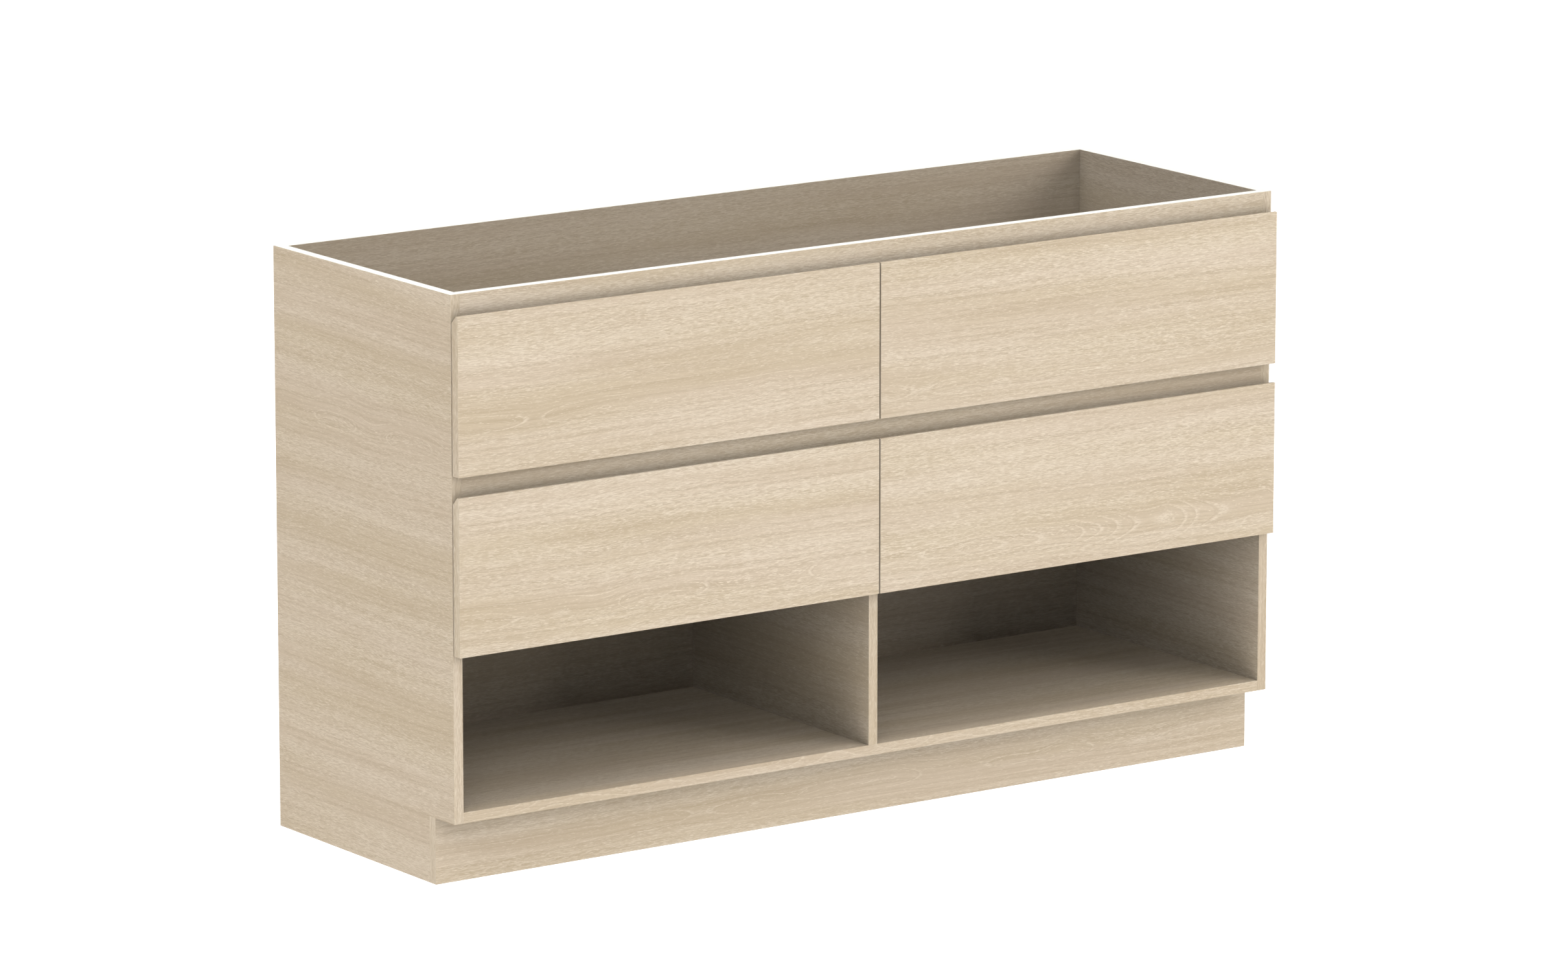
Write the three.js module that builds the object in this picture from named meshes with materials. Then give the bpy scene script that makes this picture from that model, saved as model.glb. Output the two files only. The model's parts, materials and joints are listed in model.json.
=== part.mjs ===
// A double bathroom vanity cabinet without its benchtop: a board carcass on a recessed kick,
// four handleless drawers in two columns and an open bay under each column.
// Millimetres. +X is to the right seen from the front, +Y towards the wall and +Z up.
// The origin is on the floor, under the middle of the whole width and depth.

import * as THREE from "three";

// Overall sizes of the carcass.
const cabinetWidth = 1488;
const cabinetDepth = 480; // side panels, front edge to back face
const cabinetHeight = 880;

// Board thicknesses.
const caseBoard = 16; // sides, shelves, divider and rails
const backBoard = 16;
const kickBoard = 16;
const frontBoard = 16;
const boxBoard = 16; // drawer sides and back
const baseBoard = 12; // drawer bottoms

// Kick.
const kickHeight = 100;
const kickRecess = 51; // carcass front to kickboard face
const rearKickInset = 40; // back of the cabinet to the rear kick rail

// Drawer fronts and the finger channels above them.
const frontHeight = 235;
const pullChannel = 30; // height of rail that shows above each front
const pullBevel = 11; // 45 degree bevel behind the top edge of a front
const sideReveal = 1.25; // outside of the cabinet to a front's end
const centreGap = 2.5; // between the left and right fronts
const frontClearance = 0.5; // back of a closed front to the carcass

// Front rails.
const topRailHeight = 110;
const middleRailCover = 15; // how far the middle rail reaches behind the fronts, up and down

// Drawer boxes.
const boxClearance = 10; // above and below a drawer box
const rearClearance = 10; // behind a lower drawer box
const plumbingSpace = 100; // behind an upper drawer box, for the wastes and taps

// Ball-bearing runners, each of three nested steel channels.
const runnerSpace = 13; // drawer box to the board beside it
const runnerHeight = 45;
const runnerStep = 50; // runners come in multiples of this length
const runnerSetback = 3; // carcass front to the runner's front end
const runnerRise = 45; // bottom of the drawer box to the runner's centre line
const runnerSheet = 1.25;
const ballGap = 2.25; // between nested flanges, where the balls run
const webGap = 2; // between one member's web and the next one's nearest face
const slideClearance = 0.5; // between members where they pass each other
const outerMemberSetback = 3; // drawer box to the edge of the outer member

// Faces lie on a fine grid, so that boards which touch share the same number exactly.
const gridSteps = 64;
const onGrid = (value) => Math.round(value * gridSteps) / gridSteps;

const finishes = {
  oak: { color: 0xdcccb5, roughness: 0.55, metalness: 0 },
  white: { color: 0xf1efea, roughness: 0.5, metalness: 0 },
  steel: { color: 0xb9bcc0, roughness: 0.35, metalness: 1 },
};

// Heights that the boards share.
const bottomShelfTop = kickHeight + caseBoard;
const upperFrontBottom = cabinetHeight - pullChannel - frontHeight;
const lowerFrontBottom = upperFrontBottom - pullChannel - frontHeight;
const bayTop = lowerFrontBottom; // underside of the boards over the bays
const middleRailBottom = upperFrontBottom - pullChannel - middleRailCover;
const middleRailTop = upperFrontBottom + middleRailCover;
const topRailBottom = cabinetHeight - topRailHeight;

// Widths and depths that the boards share. Depths count from the carcass front.
const innerSide = cabinetWidth / 2 - caseBoard;
const dividerSide = caseBoard / 2;
const backFace = cabinetDepth - backBoard;
const kickBack = kickRecess + kickBoard;
const rearKickBack = cabinetDepth - rearKickInset;
const rearKickFront = rearKickBack - kickBoard;
const wholeDepth = cabinetDepth + frontClearance + frontBoard;

// Turn an outline drawn in (Y, Z) or in (X, Z) into a piece that is extruded along X, or towards -Y.
const axisX = new THREE.Vector3(1, 0, 0);
const axisY = new THREE.Vector3(0, 1, 0);
const axisZ = new THREE.Vector3(0, 0, 1);
const alongX = new THREE.Matrix4().makeBasis(axisY, axisZ, axisX);
const alongY = new THREE.Matrix4().makeBasis(axisX, axisZ, axisY.clone().negate());

function addMesh(group, name, geometry, finish, position) {
  const mesh = new THREE.Mesh(geometry, new THREE.MeshStandardMaterial(finishes[finish]));
  mesh.name = name;
  mesh.position.set(...position);
  group.add(mesh);
}

// A square-cut board between two opposite corners.
function addBoard(group, name, finish, from, to) {
  const low = from.map(onGrid);
  const size = to.map((value, axis) => onGrid(value) - low[axis]);
  const centre = low.map((value, axis) => value + size[axis] / 2);
  addMesh(group, name, new THREE.BoxGeometry(...size), finish, centre);
}

// An outline extruded from 0 to the distance between two faces.
function extrude(outline, from, to) {
  const shape = new THREE.Shape(outline.map(([u, v]) => new THREE.Vector2(onGrid(u), onGrid(v))));
  return new THREE.ExtrudeGeometry(shape, { depth: onGrid(to) - onGrid(from), bevelEnabled: false });
}

// A piece with one outline, in (Y, Z), all the way from its left end to its right end.
function addAlongX(group, name, finish, outline, left, right) {
  const geometry = extrude(outline, left, right).applyMatrix4(alongX);
  addMesh(group, name, geometry, finish, [onGrid(left), 0, 0]);
}

// A piece with one outline, in (X, Z), all the way from its front end to its rear end.
function addAlongY(group, name, finish, outline, front, rear) {
  const geometry = extrude(outline, front, rear).applyMatrix4(alongY);
  addMesh(group, name, geometry, finish, [0, onGrid(rear), 0]);
}

// A side panel reaches the floor, with a notch at its front for the kickboard.
function addSidePanel(group, name, left, right) {
  const outline = [
    [kickBack, 0],
    [cabinetDepth, 0],
    [cabinetDepth, cabinetHeight],
    [0, cabinetHeight],
    [0, kickHeight],
    [kickBack, kickHeight],
  ];
  addAlongX(group, name, "oak", outline, left, right);
}

// The divider stands on the bottom shelf and carries the top rail. The middle rail crosses it in a notch.
function addDivider(group) {
  const outline = [
    [0, bottomShelfTop],
    [backFace, bottomShelfTop],
    [backFace, topRailBottom],
    [0, topRailBottom],
    [0, middleRailTop],
    [caseBoard, middleRailTop],
    [caseBoard, middleRailBottom],
    [0, middleRailBottom],
  ];
  addAlongX(group, "centre_divider", "oak", outline, -dividerSide, dividerSide);
}

function addCarcass(group) {
  addSidePanel(group, "left_side_panel", -cabinetWidth / 2, -innerSide);
  addSidePanel(group, "right_side_panel", innerSide, cabinetWidth / 2);
  addDivider(group);

  const addOak = (name, from, to) => addBoard(group, name, "oak", from, to);
  addOak("back_panel", [-innerSide, backFace, kickHeight], [innerSide, cabinetDepth, cabinetHeight]);
  addOak("bottom_shelf", [-innerSide, 0, kickHeight], [innerSide, backFace, bottomShelfTop]);
  addOak("left_bay_top", [-innerSide, 0, bayTop], [-dividerSide, backFace, bayTop + caseBoard]);
  addOak("right_bay_top", [dividerSide, 0, bayTop], [innerSide, backFace, bayTop + caseBoard]);
  addOak("top_front_rail", [-innerSide, 0, topRailBottom], [innerSide, caseBoard, cabinetHeight]);
  addOak("middle_front_rail", [-innerSide, 0, middleRailBottom], [innerSide, caseBoard, middleRailTop]);
  addOak("kickboard", [-cabinetWidth / 2, kickRecess, 0], [cabinetWidth / 2, kickBack, kickHeight]);
  addOak("rear_kick_rail", [-innerSide, rearKickFront, 0], [innerSide, rearKickBack, kickHeight]);
  addOak("centre_kick_support", [-dividerSide, kickBack, 0], [dividerSide, rearKickFront, kickHeight]);
}

// A lipped channel in (X, Z). Its web's back is at `web` and it opens towards `open`, 1 for +X or
// -1 for -X. Its lips end at `lipEnd` above and below the centre line.
function channelOutline(web, open, depth, centre, half, lipEnd) {
  const upper = [
    [0, half],
    [depth, half],
    [depth, lipEnd],
    [depth - runnerSheet, lipEnd],
    [depth - runnerSheet, half - runnerSheet],
    [runnerSheet, half - runnerSheet],
  ];
  const lower = upper.map(([x, z]) => [x, -z]).reverse();
  return [...upper, ...lower].map(([x, z]) => [web + open * x, centre + z]);
}

// The three members of one runner, from the board at `face` to the drawer box. `towards` is 1 when the
// box is on the +X side of the board and -1 when it is on the -X side.
function addRunner(groups, name, face, towards, centre, length) {
  const outerHalf = runnerHeight / 2;
  const middleHalf = outerHalf - runnerSheet - ballGap;
  const innerHalf = middleHalf - runnerSheet - ballGap;
  const lipReach = outerHalf - middleHalf - slideClearance;

  const outerDepth = runnerSpace - outerMemberSetback;
  const middleWeb = runnerSheet + webGap;
  const middleDepth = runnerSpace - runnerSheet - slideClearance - middleWeb;
  const innerDepth = runnerSpace - middleWeb - runnerSheet - webGap;
  const addMember = (member, web, open, depth, half) => {
    const outline = channelOutline(web, open, depth, centre, half, half - lipReach);
    const rear = runnerSetback + length;
    addAlongY(groups[member], `${name}_${member}`, "steel", outline, runnerSetback, rear);
  };
  addMember("outer", face, towards, outerDepth, outerHalf);
  addMember("middle", face + towards * middleWeb, towards, middleDepth, middleHalf);
  addMember("inner", face + towards * runnerSpace, -towards, innerDepth, innerHalf);
}

// A drawer front is square at the bottom and bevelled behind its top edge, which makes the finger pull.
function addDrawerFront(group, name, left, right, bottom) {
  const front = -frontClearance - frontBoard;
  const top = bottom + frontHeight;
  const outline = [
    [front, bottom],
    [-frontClearance, bottom],
    [-frontClearance, top - pullBevel],
    [-frontClearance - pullBevel, top],
    [front, top],
  ];
  addAlongX(group, `${name}_drawer_front`, "oak", outline, left, right);
}

// The box is fixed to the back of its front: two sides, and a back and a base between them.
function addDrawerBox(group, name, left, right, bottom, top, depth) {
  const rear = depth - boxBoard;
  const innerLeft = left + boxBoard;
  const innerRight = right - boxBoard;
  const addWhite = (part, from, to) => addBoard(group, `${name}_drawer_${part}`, "white", from, to);
  addWhite("left_side", [left, -frontClearance, bottom], [innerLeft, depth, top]);
  addWhite("right_side", [innerRight, -frontClearance, bottom], [right, depth, top]);
  addWhite("back", [innerLeft, rear, bottom], [innerRight, depth, top]);
  addWhite("base", [innerLeft, -frontClearance, bottom], [innerRight, rear, bottom + baseBoard]);
}

// The longest stock runner that leaves `behind` free between the drawer box and the back panel.
function stockRunner(behind) {
  return Math.floor((backFace - runnerSetback - behind) / runnerStep) * runnerStep;
}

function addDrawer(cabinet, row, column) {
  const name = `${row.name}_${column.name}`;
  const drawer = new THREE.Group();
  const middleMembers = new THREE.Group();
  cabinet.add(drawer, middleMembers);

  const length = stockRunner(row.behind);
  const boxLeft = column.left + runnerSpace;
  const boxRight = column.right - runnerSpace;
  const boxDepth = runnerSetback + length;
  addDrawerFront(drawer, name, column.frontLeft, column.frontRight, row.frontBottom);
  addDrawerBox(drawer, name, boxLeft, boxRight, row.boxBottom, row.boxTop, boxDepth);

  const groups = { outer: cabinet, middle: middleMembers, inner: drawer };
  const centre = row.boxBottom + runnerRise;
  addRunner(groups, `${name}_runner_left`, column.left, 1, centre, length);
  addRunner(groups, `${name}_runner_right`, column.right, -1, centre, length);
}

const rows = [
  {
    name: "upper",
    frontBottom: upperFrontBottom,
    boxBottom: middleRailTop + boxClearance,
    boxTop: topRailBottom - boxClearance,
    behind: plumbingSpace,
  },
  {
    name: "lower",
    frontBottom: lowerFrontBottom,
    boxBottom: bayTop + caseBoard + boxClearance,
    boxTop: middleRailBottom - boxClearance,
    behind: rearClearance,
  },
];

const columns = [
  {
    name: "left",
    left: -innerSide,
    right: -dividerSide,
    frontLeft: -cabinetWidth / 2 + sideReveal,
    frontRight: -centreGap / 2,
  },
  {
    name: "right",
    left: dividerSide,
    right: innerSide,
    frontLeft: centreGap / 2,
    frontRight: cabinetWidth / 2 - sideReveal,
  },
];

const cabinet = new THREE.Group();
cabinet.name = "vanity_cabinet";
cabinet.position.y = onGrid(wholeDepth / 2 - cabinetDepth);
addCarcass(cabinet);
for (const row of rows) {
  for (const column of columns) addDrawer(cabinet, row, column);
}

// The cabinet's own frame starts at the carcass front, so it hangs in a group whose origin is on the floor.
const vanity = new THREE.Group();
vanity.add(cabinet);

export default vanity;
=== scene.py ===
"""Looks of the bathroom vanity cabinet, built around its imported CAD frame.

The boards stay the CAD's own solids, with fine arrises and procedural finishes. New pieces are the small
hardware that the CAD leaves out: ball cages, screws, cam locks and buffers. Each rides on the body that it
moves with.
"""

import json
import math
from typing import NamedTuple

import bmesh
import bpy
from mathutils import Matrix, Vector


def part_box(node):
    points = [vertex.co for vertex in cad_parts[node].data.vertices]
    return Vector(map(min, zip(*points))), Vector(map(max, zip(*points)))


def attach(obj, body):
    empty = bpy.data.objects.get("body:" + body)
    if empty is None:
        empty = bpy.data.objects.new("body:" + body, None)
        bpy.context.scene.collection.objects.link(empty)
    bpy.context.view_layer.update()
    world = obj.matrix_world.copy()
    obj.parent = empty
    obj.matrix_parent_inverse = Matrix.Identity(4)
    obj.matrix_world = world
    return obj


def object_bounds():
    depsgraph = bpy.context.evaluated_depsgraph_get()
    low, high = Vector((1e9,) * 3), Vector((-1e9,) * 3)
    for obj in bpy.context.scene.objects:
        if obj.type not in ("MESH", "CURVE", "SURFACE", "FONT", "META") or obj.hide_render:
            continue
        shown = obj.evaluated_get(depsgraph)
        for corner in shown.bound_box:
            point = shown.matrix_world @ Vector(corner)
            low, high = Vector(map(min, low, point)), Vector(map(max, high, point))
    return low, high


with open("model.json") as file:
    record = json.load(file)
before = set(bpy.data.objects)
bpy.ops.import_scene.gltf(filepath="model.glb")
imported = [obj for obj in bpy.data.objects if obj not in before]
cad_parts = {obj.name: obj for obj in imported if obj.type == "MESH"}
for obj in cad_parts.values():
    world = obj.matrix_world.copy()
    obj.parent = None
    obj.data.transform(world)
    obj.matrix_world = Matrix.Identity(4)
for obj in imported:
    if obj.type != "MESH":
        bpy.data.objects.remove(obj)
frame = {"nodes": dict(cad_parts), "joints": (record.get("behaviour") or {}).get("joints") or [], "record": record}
cad_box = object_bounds()
NODES = frame["nodes"]
SCENE = bpy.context.scene
MM = 0.001

DRAWERS = ["upper_left", "upper_right", "lower_left", "lower_right"]
SIDES = ["left", "right"]


# ---------------------------------------------------------------- wiring of materials

ROW_SLIDE = 9.0    # the most that a row of dashes is slid by, in waves of its noise


class Wiring:
    """Adds nodes to one node tree. All methods but node and put return the socket that holds the result."""

    def __init__(self, tree):
        self.tree = tree

    def node(self, kind, values=(), **settings):
        made = self.tree.nodes.new(kind)
        for name, value in settings.items():
            setattr(made, name, value)
        for socket, value in values:
            self.put(made.inputs[socket], value)
        return made

    def put(self, socket, value):
        if isinstance(value, bpy.types.NodeSocket):
            self.tree.links.new(value, socket)
        else:
            socket.default_value = value

    def math(self, operation, a, b=0.0):
        return self.node("ShaderNodeMath", [(0, a), (1, b)], operation=operation).outputs[0]

    def add(self, a, b):
        return self.math("ADD", a, b)

    def subtract(self, a, b):
        return self.math("SUBTRACT", a, b)

    def times(self, a, b):
        return self.math("MULTIPLY", a, b)

    def size(self, a):
        return self.math("ABSOLUTE", a)

    def above(self, a, limit):
        """1 where a is above limit, and 0 elsewhere."""
        return self.math("GREATER_THAN", a, limit)

    def plus_scaled(self, a, b, scale):
        """a + b * scale"""
        made = self.node("ShaderNodeMath", [(0, b), (1, scale), (2, a)], operation="MULTIPLY_ADD")
        return made.outputs[0]

    def point(self, x, y, z=0.0):
        return self.node("ShaderNodeCombineXYZ", [(0, x), (1, y), (2, z)]).outputs[0]

    def flat_noise(self, point, detail):
        values = [("Vector", point), ("Scale", 1.0), ("Detail", detail)]
        return self.node("ShaderNodeTexNoise", values, noise_dimensions="2D").outputs["Fac"]

    def noise(self, x, x_rate, y, y_rate, detail=1.0, place=0.0):
        """Noise of about 0 to 1 that has x_rate waves a metre along x and y_rate along y. Each place gives a
        pattern of its own."""
        point = self.point(self.plus_scaled(place, x, x_rate), self.plus_scaled(place, y, y_rate))
        return self.flat_noise(point, detail)

    def dashes(self, along, along_rate, across, across_rate, detail, place):
        """Like noise, but in rows that are each slid along by their own amount, so no columns show."""
        up = self.plus_scaled(place, across, across_rate)
        slide = self.node("ShaderNodeTexWhiteNoise", [("W", self.math("FLOOR", up))], noise_dimensions="1D")
        slid = self.plus_scaled(self.times(slide.outputs["Value"], ROW_SLIDE), along, along_rate)
        return self.flat_noise(self.point(slid, up), detail)

    def cloud(self, spot, scale, detail=2.0):
        """Noise of about 0 to 1 that has scale waves a metre every way."""
        values = [("Vector", spot), ("Scale", scale), ("Detail", detail)]
        return self.node("ShaderNodeTexNoise", values).outputs["Fac"]

    def spread(self, value, low, high, to_low=0.0, to_high=1.0):
        """A smooth step: low becomes to_low and high becomes to_high."""
        values = [(0, value), (1, low), (2, high), (3, to_low), (4, to_high)]
        made = self.node("ShaderNodeMapRange", values, interpolation_type="SMOOTHSTEP")
        return made.outputs[0]

    def mix(self, factor, a, b):
        made = self.node("ShaderNodeMix", data_type="RGBA")
        for socket, value in zip((made.inputs[0], made.inputs[6], made.inputs[7]), (factor, a, b)):
            self.put(socket, value)
        return made.outputs[2]

    def choose(self, factor, a, b):
        """The number a where factor is 0 and b where it is 1."""
        return self.plus_scaled(a, self.subtract(b, a), factor)


def rgb(red, green, blue):
    return (red, green, blue, 1.0)


def new_material(name):
    """A node material and its wiring, main shader and texture coordinates in metres."""
    material = bpy.data.materials.new(name)
    material.use_nodes = True
    w = Wiring(material.node_tree)
    shader = material.node_tree.nodes["Principled BSDF"]
    place = w.node("ShaderNodeSeparateXYZ", [(0, w.node("ShaderNodeTexCoord").outputs["Object"])]).outputs
    return material, w, shader, place


def facing(w):
    """How far a flat face turns to each axis, from 0 to 1 each."""
    normal = w.node("ShaderNodeNewGeometry").outputs["True Normal"]
    return [w.size(part) for part in w.node("ShaderNodeSeparateXYZ", [(0, normal)]).outputs]


def add_relief(w, shader, height, strength, depth):
    """A fine relief on the surface. depth is in metres."""
    bump = w.node("ShaderNodeBump", [("Strength", strength), ("Distance", depth), ("Height", height)])
    w.put(shader.inputs["Normal"], bump.outputs[0])


# ---------------------------------------------------------------- limed oak laminate

OAK_YELLOW = rgb(0.676, 0.560, 0.406)
OAK_PINK = rgb(0.722, 0.602, 0.466)
OAK_LIME = rgb(0.865, 0.760, 0.618)
OAK_BROWN = rgb(0.500, 0.385, 0.256)
WHITE_EDGE = rgb(0.88, 0.88, 0.82)
SEAT_DEPTH = 0.6 * MM               # how far below the top of the cabinet the white edging goes

WANDER = 18 * MM                    # swing of the grain's slow wander
TREMBLE = 1.3 * MM                  # swing of its small tremble
UNEVEN = 7 * MM                     # swing of a ring about even spacing
HEART_WIDTH = (12 * MM, 42 * MM)    # rings show fully within the first of these, and not past the second
FLOW_ROUND = 0.55                   # how closely pores follow the arches, from 0 to 1
PORE_LIMIT = 0.615                  # noise above this is a pore
DENSE_BANDS = -0.115                # what the limit changes by in a dense band
THIN_HEART = 0.060                  # what it changes by at the heart
EDGING_PLACE = 0.31                 # the place across the sheet that edging is cut from, in metres
FIRST_PLANK = 5.3                   # the place along the sheet of the first board, in metres
NEXT_PLANK = 2.7                    # how much farther along it the next one is
SQUARE_ON = 0.8                     # a face that turns this far to an axis is square to it
FACES_UP = 0.6                      # and one that turns this far to z faces up or down


class Figure(NamedTuple):
    """The printed figure of one board, in metres. Places across a board are measured as oak_laminate does,
    by z - y where the grain runs along x, and by x + z where it runs along y."""
    heart: float = 0.5    # place across the board of the heart line, where rings run flat and arch over
    arch: float = 0.08    # how strongly they arch
    rings: float = 90     # rings to a metre
    lean: float = 0.0     # how fast they open out, away from the focus
    focus: float = 0.0    # place along the board that they open from
    tan: float = 0.10     # how much darker this board is than the palest: partly the sheet's own tone, and partly painted shade on boards that lie in recesses or turn away from the light


# The last number in each figure darkens the board. It is partly the sheet's own tone and partly painted shade,
# which is strongest on the back panel, divider, middle rail, left side, bottom shelf and kickboard.
FIGURES = {
    "upper_left_drawer_front": Figure(heart=0.9385, arch=0.10, rings=70, tan=0.02),
    "upper_right_drawer_front": Figure(heart=0.8965, arch=0.10, tan=0.03),
    "lower_left_drawer_front": Figure(heart=0.6465, arch=0.10, rings=80, tan=0.0),
    "lower_right_drawer_front": Figure(heart=0.6465, arch=0.06, rings=190, lean=0.10, focus=0.17, tan=0.0),
    "left_side_panel": Figure(heart=-0.100, arch=0.16, tan=0.17),
    "right_side_panel": Figure(heart=1.300, arch=0.12, tan=0.08),
    "centre_divider": Figure(tan=0.19),
    "middle_front_rail": Figure(heart=0.9635, tan=0.18),
    "top_front_rail": Figure(heart=0.9635, tan=0.0),
    "bottom_shelf": Figure(heart=0.3485, arch=0.10, rings=150, tan=0.14),
    "kickboard": Figure(heart=0.2215, tan=0.13),
    "back_panel": Figure(heart=0.4355, arch=0.10, tan=0.22),
}


def new_oak_group():
    """An empty node group with the sockets of the oak figure."""
    group = bpy.data.node_groups.new("limed_oak", "ShaderNodeTree")
    for name in ("Along", "Across", "Arch", "Rings", "Lean", "Focus", "ToneAndShade"):
        group.interface.new_socket(name, in_out="INPUT", socket_type="NodeSocketFloat")
    group.interface.new_socket("Colour", in_out="OUTPUT", socket_type="NodeSocketColor")
    for name in ("Roughness", "Height"):
        group.interface.new_socket(name, in_out="OUTPUT", socket_type="NodeSocketFloat")
    return group


def wandering(w, along, across):
    """The place across the grain, where the grain wanders slowly and trembles a little."""
    slow = w.subtract(w.noise(along, 1.5, across, 3.0), 0.5)
    tremble = w.subtract(w.noise(along, 11.0, across, 60.0, place=4.0), 0.5)
    return w.plus_scaled(w.plus_scaled(across, slow, WANDER), tremble, TREMBLE)


def ring_distance(w, along, across, bent, arch, lean, focus):
    """Alike along one ring: far from the heart rings follow the grain, and near it they arch over."""
    dip = w.size(w.subtract(w.noise(along, 2.6, across, 1.2, detail=2.0, place=9.0), 0.5))
    dip = w.plus_scaled(w.times(dip, arch), w.size(w.subtract(along, focus)), lean)
    return w.math("SQRT", w.add(w.times(bent, bent), w.times(dip, dip)))


def ring_lines(w, along, bent, ring, rings, near_heart):
    """The rings' dark edges, the pale lines beside them, and each ring's own tone."""
    uneven = w.subtract(w.noise(along, 3.0, ring, 60.0, detail=2.0, place=21.0), 0.5)
    count = w.times(w.plus_scaled(ring, uneven, UNEVEN), rings)
    into_ring = w.math("DIVIDE", w.math("FRACT", count), rings)
    dark = w.times(w.spread(into_ring, 0.0, 1.5 * MM, 1.0, 0.0), near_heart)
    begins = w.spread(into_ring, 0.4 * MM, 1.0 * MM)
    ends = w.spread(into_ring, 1.1 * MM, 2.3 * MM, 1.0, 0.0)
    ragged = w.spread(w.dashes(along, 120.0, bent, 700.0, detail=1.0, place=30.0), 0.36, 0.56)
    pale = w.times(w.times(w.times(begins, ends), near_heart), ragged)
    own_tone = w.noise(w.math("FLOOR", count), 3.7, along, 0.8, detail=0.0, place=40.0)
    return dark, pale, own_tone


def limed_pores(w, along, flow, near_heart):
    """Short pale dashes, dense in some bands and rare in others, and some long fainter ones."""
    band = w.spread(w.noise(along, 0.9, flow, 26.0, detail=2.0, place=50.0), 0.34, 0.66)
    limit = w.plus_scaled(w.plus_scaled(PORE_LIMIT, band, DENSE_BANDS), near_heart, THIN_HEART)
    short = w.dashes(along, 92.0, flow, 1500.0, detail=1.0, place=60.0)
    short = w.spread(w.subtract(short, limit), 0.0, 0.10)
    long = w.dashes(along, 26.0, flow, 1000.0, detail=1.0, place=70.0)
    long = w.times(w.spread(w.subtract(long, limit), 0.05, 0.16), 0.6)
    return w.math("MAXIMUM", short, long)


def limed_oak_group():
    """The printed wood. Along and Across are in metres, and Across is 0 on the heart line. The other inputs
    are those of Figure."""
    group = new_oak_group()
    w = Wiring(group)
    given = group.nodes.new("NodeGroupInput")
    result = group.nodes.new("NodeGroupOutput")
    along, across, arch, rings, lean, focus, tan = (given.outputs[i] for i in range(7))

    bent = wandering(w, along, across)
    off_heart = w.size(bent)
    near_heart = w.spread(off_heart, *HEART_WIDTH, 1.0, 0.0)
    ring = ring_distance(w, along, across, bent, arch, lean, focus)
    ring_dark, ring_pale, ring_tone = ring_lines(w, along, bent, ring, rings, near_heart)
    # pores, shade and fine lines flow part of the way round the arches
    flow = w.plus_scaled(bent, w.subtract(ring, off_heart), FLOW_ROUND)
    pores = limed_pores(w, along, flow, near_heart)
    shade = w.spread(w.dashes(along, 44.0, flow, 1500.0, detail=1.5, place=80.0), 0.46, 0.70)
    warm = w.spread(w.noise(along, 1.1, bent, 15.0, detail=2.0, place=90.0), 0.32, 0.68)
    lines = w.noise(along, 2.4, flow, 190.0, detail=3.0, place=100.0)
    tone = w.noise(along, 1.6, bent, 5.0, place=110.0)

    colour = w.mix(warm, OAK_YELLOW, OAK_PINK)
    for share, tint in (
        (w.spread(lines, 0.36, 0.74, 0.0, 0.44), OAK_BROWN),
        (w.times(shade, w.plus_scaled(0.44, near_heart, -0.16)), OAK_BROWN),
        (w.times(w.spread(ring_tone, 0.3, 0.7), w.times(near_heart, 0.13)), OAK_BROWN),
        (w.times(ring_dark, 0.14), OAK_BROWN),
        (w.times(ring_pale, 0.60), OAK_LIME),
        (w.times(pores, 0.84), OAK_LIME),
        # a random tone, plus the board's darkening, which is partly the sheet's own tone and partly painted shade
        (w.add(w.spread(tone, 0.30, 0.70, 0.0, 0.07), tan), OAK_BROWN),
    ):
        colour = w.mix(share, colour, tint)

    w.put(result.inputs["Colour"], colour)
    w.put(result.inputs["Roughness"], w.plus_scaled(0.56, pores, 0.10))
    w.put(result.inputs["Height"], w.plus_scaled(w.times(pores, -1.0), shade, -0.5))
    return group


LIMED_OAK = limed_oak_group()


def oak_laminate(name, grain, plank, figure):
    """Limed oak on one board. The grain runs along x or y on its faces, and along the edging on its narrow
    ends. plank is the place along the sheet that the board is cut from."""
    material, w, shader, (x, y, z) = new_material(name)
    turned_x, turned_y, turned_z = facing(w)
    if grain == "x":
        ends, along, across, end_across = w.above(turned_x, SQUARE_ON), x, w.subtract(z, y), y
    else:
        ends, along, across, end_across = w.above(turned_y, SQUARE_ON), y, w.add(x, z), x
    along = w.choose(ends, along, z)
    across = w.choose(ends, across, w.add(end_across, EDGING_PLACE))
    oak = w.node("ShaderNodeGroup", node_tree=LIMED_OAK)
    w.put(oak.inputs["Along"], w.add(along, plank))
    w.put(oak.inputs["Across"], w.subtract(across, figure.heart))
    w.put(oak.inputs["Arch"], figure.arch)
    w.put(oak.inputs["Rings"], figure.rings)
    w.put(oak.inputs["Lean"], figure.lean)
    w.put(oak.inputs["Focus"], figure.focus + plank)
    # the board's darkening: partly the sheet's own tone, partly painted shade
    w.put(oak.inputs["ToneAndShade"], figure.tan)

    # the benchtop sits on white edging
    seat = w.times(w.above(turned_z, FACES_UP), w.above(z, cad_box[1].z - SEAT_DEPTH))
    w.put(shader.inputs["Base Color"], w.mix(seat, oak.outputs["Colour"], WHITE_EDGE))
    w.put(shader.inputs["Roughness"], oak.outputs["Roughness"])
    shader.inputs["Specular IOR Level"].default_value = 0.06
    add_relief(w, shader, oak.outputs["Height"], 0.30, 0.12 * MM)
    return material


# ---------------------------------------------------------------- white board, steel, plastic

MELAMINE_DULL, MELAMINE_CLEAN = rgb(0.80, 0.795, 0.765), rgb(0.87, 0.865, 0.84)
ZINC_DARK, ZINC_BRIGHT = rgb(0.47, 0.48, 0.495), rgb(0.55, 0.556, 0.555)
RUBBER_DARK, RUBBER_PALE = rgb(0.62, 0.62, 0.60), rgb(0.74, 0.74, 0.72)


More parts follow.
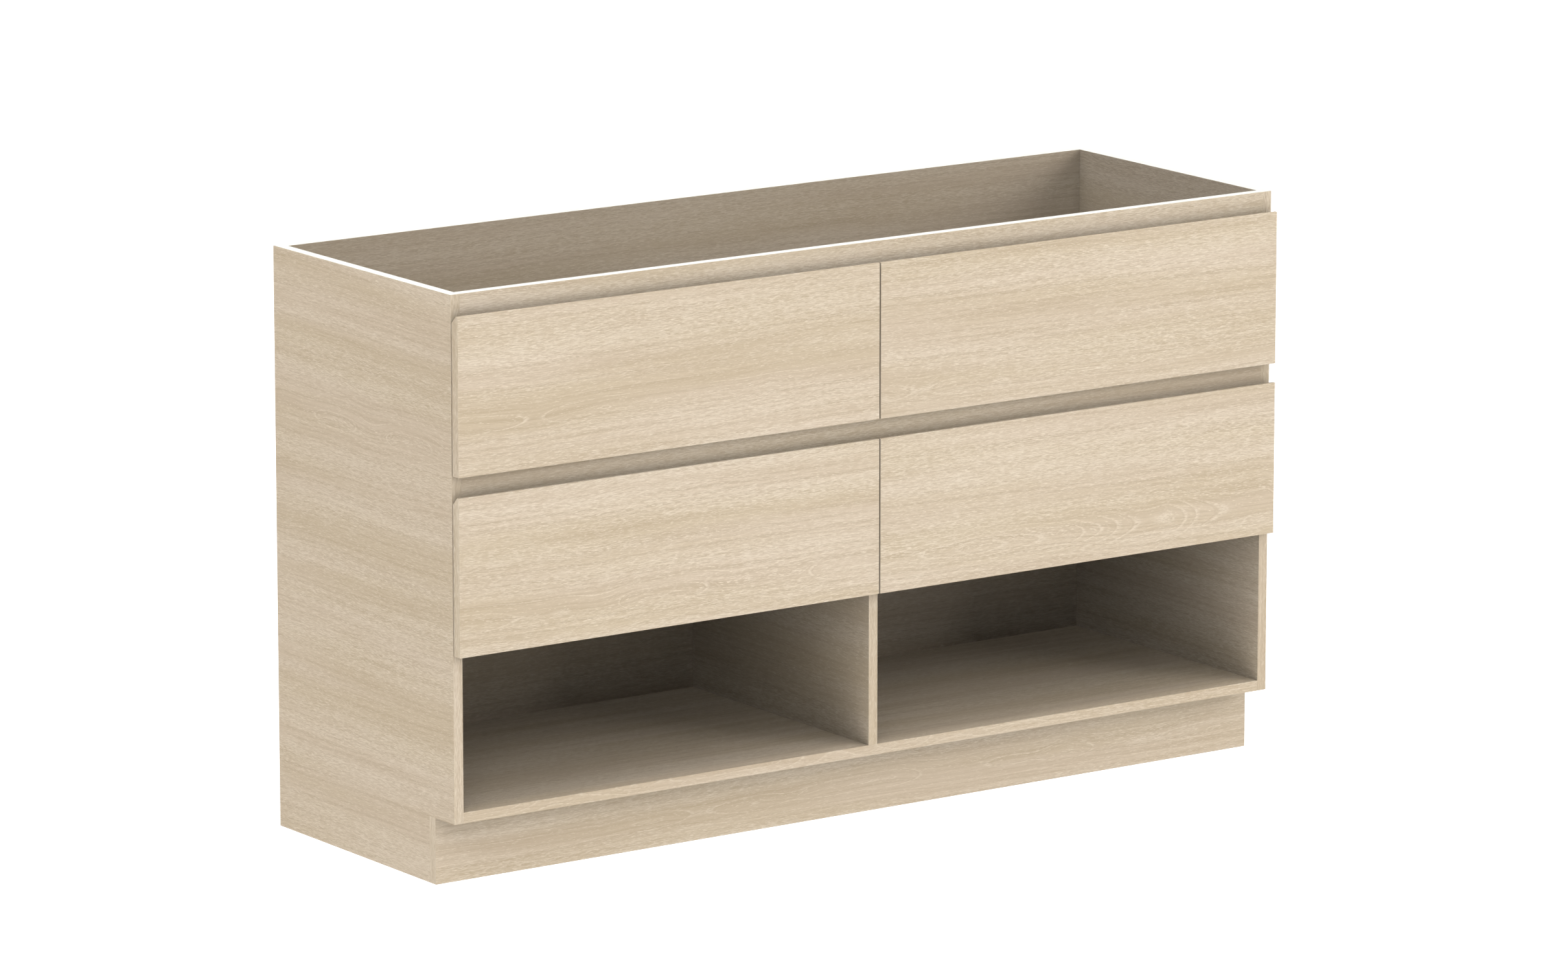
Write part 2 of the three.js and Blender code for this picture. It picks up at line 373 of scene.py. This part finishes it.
def white_melamine():
    """White melamine with the faint pebble of its press plate and slight dulling."""
    material, w, shader, place = new_material("white_melamine")
    spot = w.point(*place)
    dulling = w.cloud(spot, 9.0, detail=3.0)
    w.put(shader.inputs["Base Color"], w.mix(dulling, MELAMINE_DULL, MELAMINE_CLEAN))
    w.put(shader.inputs["Roughness"], w.spread(dulling, 0.3, 0.7, 0.34, 0.46))
    shader.inputs["Specular IOR Level"].default_value = 0.4
    add_relief(w, shader, w.cloud(spot, 900.0), 0.25, 0.05 * MM)
    return material


def zinc_steel(name):
    """Rolled steel with bright zinc: drawn lines along y and a cloudy, slightly blue bloom."""
    material, w, shader, (x, y, z) = new_material(name)
    drawn = w.noise(y, 18.0, w.plus_scaled(z, x, 0.7), 2600.0, detail=3.0)
    bloom = w.spread(w.cloud(w.point(x, y, z), 70.0, detail=4.0), 0.35, 0.65)
    w.put(shader.inputs["Base Color"], w.mix(bloom, ZINC_DARK, ZINC_BRIGHT))
    w.put(shader.inputs["Roughness"], w.plus_scaled(w.plus_scaled(0.26, drawn, 0.14), bloom, 0.08))
    shader.inputs["Metallic"].default_value = 1.0
    add_relief(w, shader, drawn, 0.2, 0.03 * MM)
    return material


def clear_rubber():
    """Cloudy soft plastic."""
    material, w, shader, place = new_material("clear_rubber")
    haze = w.cloud(w.point(*place), 400.0)
    w.put(shader.inputs["Base Color"], w.mix(haze, RUBBER_DARK, RUBBER_PALE))
    w.put(shader.inputs["Roughness"], w.spread(haze, 0.3, 0.7, 0.25, 0.4))
    return material


# ---------------------------------------------------------------- finishes on the CAD boards

FRONT_ARRIS = 0.4 * MM
CARCASS_ARRIS = 0.35 * MM
MELAMINE_ARRIS = 0.5 * MM
STEEL_ARRIS = 0.3 * MM
WELD_WITHIN = 0.01 * MM
ARRIS_ANGLE = math.radians(30)


def give(node, material):
    slots = NODES[node].data.materials
    slots.clear()
    slots.append(material)


def soften_arrises(node, width):
    """Joins the node's faces and takes the sharpness off its arrises."""
    piece = NODES[node]
    weld = piece.modifiers.new("weld", "WELD")
    weld.merge_threshold = WELD_WITHIN
    bevel = piece.modifiers.new("arris", "BEVEL")
    bevel.width = width
    bevel.segments = 2
    bevel.limit_method = "ANGLE"
    bevel.angle_limit = ARRIS_ANGLE
    bevel.harden_normals = False


def nodes_of(slot):
    return [part["node"] for part in frame["record"]["subparts"] if part["material_slot"] == slot]


def finish_boards():
    for number, node in enumerate(nodes_of("oak_laminate")):
        grain = "y" if node in ("left_side_panel", "right_side_panel", "centre_divider") else "x"
        plank = FIRST_PLANK + NEXT_PLANK * number
        give(node, oak_laminate("oak_" + node, grain, plank, FIGURES.get(node, Figure())))
        soften_arrises(node, FRONT_ARRIS if node.endswith("front") else CARCASS_ARRIS)
    for slot, material, width in (("white_board", white_melamine(), MELAMINE_ARRIS),
                                  ("runner_steel", zinc_steel("zinc_steel"), STEEL_ARRIS)):
        for node in nodes_of(slot):
            give(node, material)
            soften_arrises(node, width)


# ---------------------------------------------------------------- making of pieces

SMOOTH_WITHIN = math.radians(35)


def new_piece(name, mesh, place=Matrix.Identity(4)):
    """An object made from a bmesh, at place."""
    data = bpy.data.meshes.new(name)
    bmesh.ops.recalc_face_normals(mesh, faces=mesh.faces)
    mesh.to_mesh(data)
    mesh.free()
    piece = bpy.data.objects.new(name, data)
    SCENE.collection.objects.link(piece)
    piece.matrix_world = place
    return piece


def fit(name, mesh, material, body):
    """Makes a finished piece of hardware that rides on a body."""
    piece = new_piece(name, mesh)
    piece.data.materials.append(material)
    piece.data.set_sharp_from_angle(angle=SMOOTH_WITHIN)
    for face in piece.data.polygons:
        face.use_smooth = True
    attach(piece, body)


def turned_ring(mesh, radius, height, lobes, foot, turn, segments):
    """One ring of a turned solid. Where the radius is 0 its corners are all the same one."""
    if radius == 0:
        return [mesh.verts.new(foot + turn @ Vector((0, 0, height * MM)))] * segments
    ring = []
    for i in range(segments):
        angle = 2 * math.pi * i / segments
        reach = radius * (1 + lobes * math.cos(4 * angle)) * MM
        spot = Vector((reach * math.cos(angle), reach * math.sin(angle), height * MM))
        ring.append(mesh.verts.new(foot + turn @ spot))
    return ring


def turned(mesh, profile, foot, axis, segments=24):
    """Adds a lathe-turned solid. profile lists radius, height and how deeply four lobes cut into that ring,
    in mm, from the middle of the foot to the middle of the top. axis points from the foot to the top."""
    turn = Vector(axis).to_track_quat("Z", "Y")
    rings = [turned_ring(mesh, *level, Vector(foot), turn, segments) for level in profile]
    for lower, upper in zip(rings, rings[1:]):
        for i in range(segments):
            j = (i + 1) % segments
            # a corner on the axis counts once
            mesh.faces.new(list(dict.fromkeys((lower[i], lower[j], upper[j], upper[i]))))


def slab(mesh, low, high, edge):
    """Adds a box from low to high with rounded edges."""
    size = Vector(high) - Vector(low)
    place = Matrix.Translation((Vector(low) + Vector(high)) / 2) @ Matrix.Diagonal((*size, 1))
    made = bmesh.ops.create_cube(mesh, size=1.0, matrix=place)
    edges = list(dict.fromkeys(e for v in made["verts"] for e in v.link_edges))
    bmesh.ops.bevel(mesh, geom=edges, offset=edge, segments=2, affect="EDGES", profile=0.5)


# ---------------------------------------------------------------- hardware that the CAD leaves out

# profiles for turned, in mm
PAN_HEAD = [(0, 0, 0), (3.2, 0, 0), (3.2, 0.5, 0), (2.9, 1.1, 0), (2.2, 1.5, 0), (1.5, 1.6, 0.30),
            (1.2, 0.8, 0.45), (0.6, 0.5, 0.2), (0, 0.4, 0)]
CAM_LOCK = [(0, 0, 0), (7.5, 0, 0), (7.5, 0.25, 0), (7.2, 0.4, 0), (3.4, 0.4, 0), (2.9, 0.4, 0.35),
            (2.4, 0.15, 0.40), (0, 0.12, 0)]
BUFFER = [(0, 0, 0), (3.0, 0, 0), (3.0, 0.2, 0), (2.6, 0.38, 0), (1.6, 0.45, 0), (0, 0.45, 0)]
BALL_RADIUS = 1.05
BALL = [(0, 0, 0)] + [(BALL_RADIUS * math.sin(a), BALL_RADIUS * (1 - math.cos(a)), 0)
                      for a in (0.5, 1.05, 1.57, 2.09, 2.64)] + [(0, 2 * BALL_RADIUS, 0)]

# a cage's near and far side, out from the column, and its balls' distance from the runner's middle, in mm
OUTER_CAGE = (2.4, 8.0, 20.125)
INNER_CAGE = (5.4, 9.4, 16.625)
CAGE_FRONT_GAP = 7 * MM
CAGE_REAR_GAP = 13 * MM
HALF_STRIP = 0.3 * MM
STRIP_EDGE = 0.12 * MM
BALL_PITCH = 12 * MM
BALL_SEGMENTS = 10

RUNNER_SHEET = 1.25 * MM
SCREW_SHARES = (0.1, 0.5, 0.9)    # where along the runner its screws are

LOCK_BEHIND_FRONT = 34 * MM
LOCK_ABOVE_FOOT = 30 * MM
LOCK_BELOW_TOP = 22 * MM
LOCK_SEGMENTS = 32
BUFFER_FROM_END = 3.4 * MM
BUFFER_FROM_EDGE = 30 * MM


def ball_cage(name, body, web, open_way, cage, front, rear, material):
    """Two strips of balls, above and below, between two members of a runner. web is the middle of the column
    face, and open_way is the way along x from it to the drawer box."""
    near_reach, far_reach, height = cage
    near, far = sorted((web.x + open_way * near_reach * MM, web.x + open_way * far_reach * MM))
    count = int((rear - front) / BALL_PITCH)
    mesh = bmesh.new()
    for up in (-1, 1):
        z = web.z + up * height * MM
        slab(mesh, (near, front, z - HALF_STRIP), (far, rear, z + HALF_STRIP), STRIP_EDGE)
        for i in range(count):
            y = front + (i + 0.5) * (rear - front) / count
            turned(mesh, BALL, ((near + far) / 2, y, z - BALL_RADIUS * MM), (0, 0, 1), BALL_SEGMENTS)
    fit(name, mesh, material, body)


def fit_runner(drawer, side, steel):
    """The balls and screws of one runner, between the carcass and the drawer box."""
    stem = f"{drawer}_runner_{side}"
    low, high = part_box(stem + "_outer")
    inner_low, inner_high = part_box(stem + "_inner")
    open_way = 1 if inner_low.x > low.x else -1
    column = low.x if open_way == 1 else high.x
    box_face = inner_high.x if open_way == 1 else inner_low.x
    middle_z = (low.z + high.z) / 2
    travel = next(j["range_m"][1] for j in frame["joints"] if j["name"] == f"{drawer}_middle_slide")
    web = Vector((column, 0, middle_z))
    front, rear = low.y + CAGE_FRONT_GAP, low.y + travel - CAGE_REAR_GAP
    for name, body, cage in (
        ("outer", "cabinet", OUTER_CAGE),
        ("inner", f"{drawer}_middle_members", INNER_CAGE),
    ):
        ball_cage(f"{stem}_{name}_balls", body, web, open_way, cage, front, rear, steel)

    length = high.y - low.y
    for name, body, start, way in (
        ("column", "cabinet", column + open_way * RUNNER_SHEET, open_way),
        ("box", f"{drawer}_drawer", box_face - open_way * RUNNER_SHEET, -open_way),
    ):
        mesh = bmesh.new()
        for share in SCREW_SHARES:
            turned(mesh, PAN_HEAD, (start, low.y + share * length, middle_z), (way, 0, 0))
        fit(f"{stem}_{name}_screws", mesh, steel, body)


def fit_cam_locks(drawer, steel):
    """Cam locks that hold the front to the box sides."""
    locks = bmesh.new()
    for side in SIDES:
        low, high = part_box(f"{drawer}_drawer_{side}_side")
        face, way = (high.x, 1) if side == "left" else (low.x, -1)
        for z in (low.z + LOCK_ABOVE_FOOT, high.z - LOCK_BELOW_TOP):
            turned(locks, CAM_LOCK, (face, low.y + LOCK_BEHIND_FRONT, z), (way, 0, 0), LOCK_SEGMENTS)
    fit(f"{drawer}_cam_locks", locks, steel, f"{drawer}_drawer")


def fit_buffers(drawer, rubber):
    """Soft buffers behind the front."""
    low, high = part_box(f"{drawer}_drawer_front")
    buffers = bmesh.new()
    for x in (low.x + BUFFER_FROM_END, high.x - BUFFER_FROM_END):
        for z in (low.z + BUFFER_FROM_EDGE, high.z - BUFFER_FROM_EDGE):
            turned(buffers, BUFFER, (x, high.y, z), (0, 1, 0))
    fit(f"{drawer}_buffers", buffers, rubber, f"{drawer}_drawer")


def fit_hardware():
    steel, rubber = zinc_steel("zinc_hardware"), clear_rubber()
    for drawer in DRAWERS:
        fit_cam_locks(drawer, steel)
        fit_buffers(drawer, rubber)
        for side in SIDES:
            fit_runner(drawer, side, steel)


# ---------------------------------------------------------------- camera and floor

VIEW_AZIMUTH = -35
VIEW_ELEVATION = 12
AIM = Vector((0.0021, 0.0029, 0.4636))
CAMERA_DISTANCE = 13.149
LENS, SENSOR_WIDTH = 200.3, 36
FAR_CLIP = 200

STUDIO_RADIUS = 70.0
STUDIO_FACETS = 96
STUDIO_GLOW = 1.15
FLOOR_DROP = 0.5 * MM    # the floor that shows is this far below the cabinet


def direction(azimuth, elevation):
    """Unit vector from the cabinet to azimuth (0 in front, 90 on the right) and elevation, in degrees."""
    a, e = math.radians(azimuth), math.radians(elevation)
    return Vector((math.sin(a) * math.cos(e), -math.cos(a) * math.cos(e), math.sin(e)))


def place_camera():
    camera = bpy.data.objects.new("camera", bpy.data.cameras.new("camera"))
    SCENE.collection.objects.link(camera)
    camera.location = AIM + direction(VIEW_AZIMUTH, VIEW_ELEVATION) * CAMERA_DISTANCE
    camera.rotation_euler = (math.radians(90 - VIEW_ELEVATION), 0, math.radians(VIEW_AZIMUTH))
    camera.data.lens = LENS
    camera.data.sensor_width = SENSOR_WIDTH
    camera.data.clip_end = FAR_CLIP
    SCENE.camera = camera


def studio_paint():
    """Pale paint that glows, faintly mottled."""
    material, w, shader, place = new_material("studio_paint")
    mottle = w.cloud(w.point(*place), 3.0)
    w.put(shader.inputs["Base Color"], w.mix(mottle, rgb(0.20, 0.20, 0.20), rgb(0.24, 0.24, 0.24)))
    shader.inputs["Roughness"].default_value = 0.9
    shader.inputs["Specular IOR Level"].default_value = 0.0
    shader.inputs["Emission Color"].default_value = rgb(1, 1, 1)
    shader.inputs["Emission Strength"].default_value = STUDIO_GLOW
    return material


def white_studio():
    """A pale floor under a white dome. They only show: the light they would send comes from the lamps."""
    disc = bmesh.new()
    bmesh.ops.create_circle(disc, cap_ends=True, radius=STUDIO_RADIUS, segments=STUDIO_FACETS)
    dome = bmesh.new()
    bmesh.ops.create_uvsphere(dome, u_segments=STUDIO_FACETS, v_segments=STUDIO_FACETS // 2,
                              radius=STUDIO_RADIUS)
    below = [v for v in dome.verts if v.co.z < -FLOOR_DROP]
    bmesh.ops.delete(dome, geom=below, context="VERTS")
    paint = studio_paint()
    floor = new_piece("floor", disc, Matrix.Translation((0, 0, -FLOOR_DROP)))
    for stage in (floor, new_piece("backdrop", dome)):
        stage.data.materials.append(paint)
        stage.visible_diffuse = False
        stage.visible_shadow = False


# ---------------------------------------------------------------- light

# name of a lamp: azimuth and elevation in degrees, power in watts
LAMPS = {
    "front_high": (0, 45, 84),
    "front_top": (0, 62, 106),
    "camera_side": (-35, 25, 239),
    "left_high": (-60, 50, 175),
    "left_top": (-90, 45, 125),
    "left": (-90, 15, 100),
    "right_front": (40, 20, 398),
    "right": (72, 18, 179),
    "back_high": (180, 55, 436),
    "top": (0, 89, 653),
}
LAMP_DISTANCE = 12.0
LAMP_WIDTH = LAMP_DISTANCE / 2
LIT_POINT = Vector((0, 0, 0.45))
FLOOR_GLOW_WIDTH = 40.0
FLOOR_GLOW_DROP = 2 * MM
FILL_FROM = (-90, 64)    # azimuth and elevation in degrees
FILL_STRENGTH = 0.156


def add_lamp(name, light, towards):
    """A lamp that sends its light towards a direction."""
    lamp = bpy.data.objects.new(name, light)
    SCENE.collection.objects.link(lamp)
    lamp.rotation_euler = towards.to_track_quat("-Z", "Y").to_euler()
    return lamp


def soft_light(name, place, towards, width, power):
    """A square white lamp that the camera doesn't see."""
    light = bpy.data.lights.new(name, "AREA")
    light.shape = "SQUARE"
    light.size = width
    light.energy = power
    lamp = add_lamp(name, light, towards)
    lamp.location = place
    lamp.visible_camera = False


def shadowless_fill():
    """A weak light that reaches everywhere, as light from the room would."""
    light = bpy.data.lights.new("shadowless_fill", "SUN")
    light.energy = FILL_STRENGTH
    light.use_shadow = False
    add_lamp("shadowless_fill", light, -direction(*FILL_FROM))


def dark_world():
    world = bpy.data.worlds.new("studio")
    world.use_nodes = True
    world.node_tree.nodes["Background"].inputs["Strength"].default_value = 0.0
    SCENE.world = world


def light_studio():
    for name, (azimuth, elevation, power) in LAMPS.items():
        out = direction(azimuth, elevation)
        soft_light(name, LIT_POINT + out * LAMP_DISTANCE, -out, LAMP_WIDTH, power)
    # as much light as a floor of that width with the studio's glow would send
    glow = STUDIO_GLOW * math.pi * FLOOR_GLOW_WIDTH ** 2
    soft_light("floor_glow", Vector((0, 0, -FLOOR_GLOW_DROP)), Vector((0, 0, 1)), FLOOR_GLOW_WIDTH, glow)
    shadowless_fill()
    dark_world()
    # no light is passed on between boards, so bays and channels stay dark and keep their hue
    SCENE.cycles.diffuse_bounces = 0
    SCENE.view_settings.view_transform = "Standard"


finish_boards()
fit_hardware()
place_camera()
white_studio()
light_studio()
